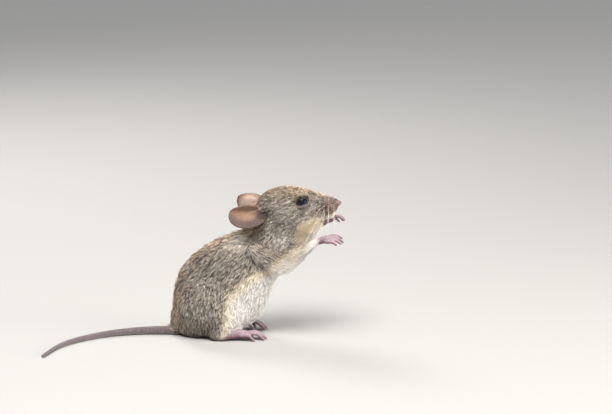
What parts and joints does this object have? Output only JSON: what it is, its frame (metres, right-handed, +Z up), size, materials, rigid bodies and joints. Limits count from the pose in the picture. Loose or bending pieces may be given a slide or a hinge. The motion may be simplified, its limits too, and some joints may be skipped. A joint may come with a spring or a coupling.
{
  "type": "field mouse model",
  "caption": "Life-size still model of a young field mouse sitting up on its haunches, forepaws raised, tail laid in a curve on the floor.",
  "frame": {"origin": "bottom centre of the model's box, on the floor it sits on", "axes": "+X forward, toward the nose; +Y toward the animal's left side; +Z up"},
  "size_m": [0.1102, 0.0454, 0.057],
  "materials": {
    "fur": "matte",
    "pale_fur": "matte",
    "ear_skin": "satin",
    "bare_skin": "satin",
    "tail_skin": "matte",
    "nose_skin": "satin",
    "eye": "gloss",
    "claw": "satin",
    "whisker": "matte"
  },
  "bodies": {
    "root": {"chest": "fur", "ear_left": "ear_skin", "ear_right": "ear_skin", "eye_left": "eye", "eye_right": "eye", "foreleg_left": "pale_fur", "foreleg_right": "pale_fur", "forepaw_left": "bare_skin", "forepaw_right": "bare_skin", "head": "fur", "hind_foot_left": "bare_skin", "hind_foot_right": "bare_skin", "hind_leg_left": "fur", "hind_leg_right": "fur", "hindquarters": "fur", "lower_jaw": "pale_fur", "neck": "fur", "nose": "nose_skin", "tail_middle": "tail_skin", "tail_root": "tail_skin", "tail_tip": "tail_skin"}
  },
  "joints": []
}
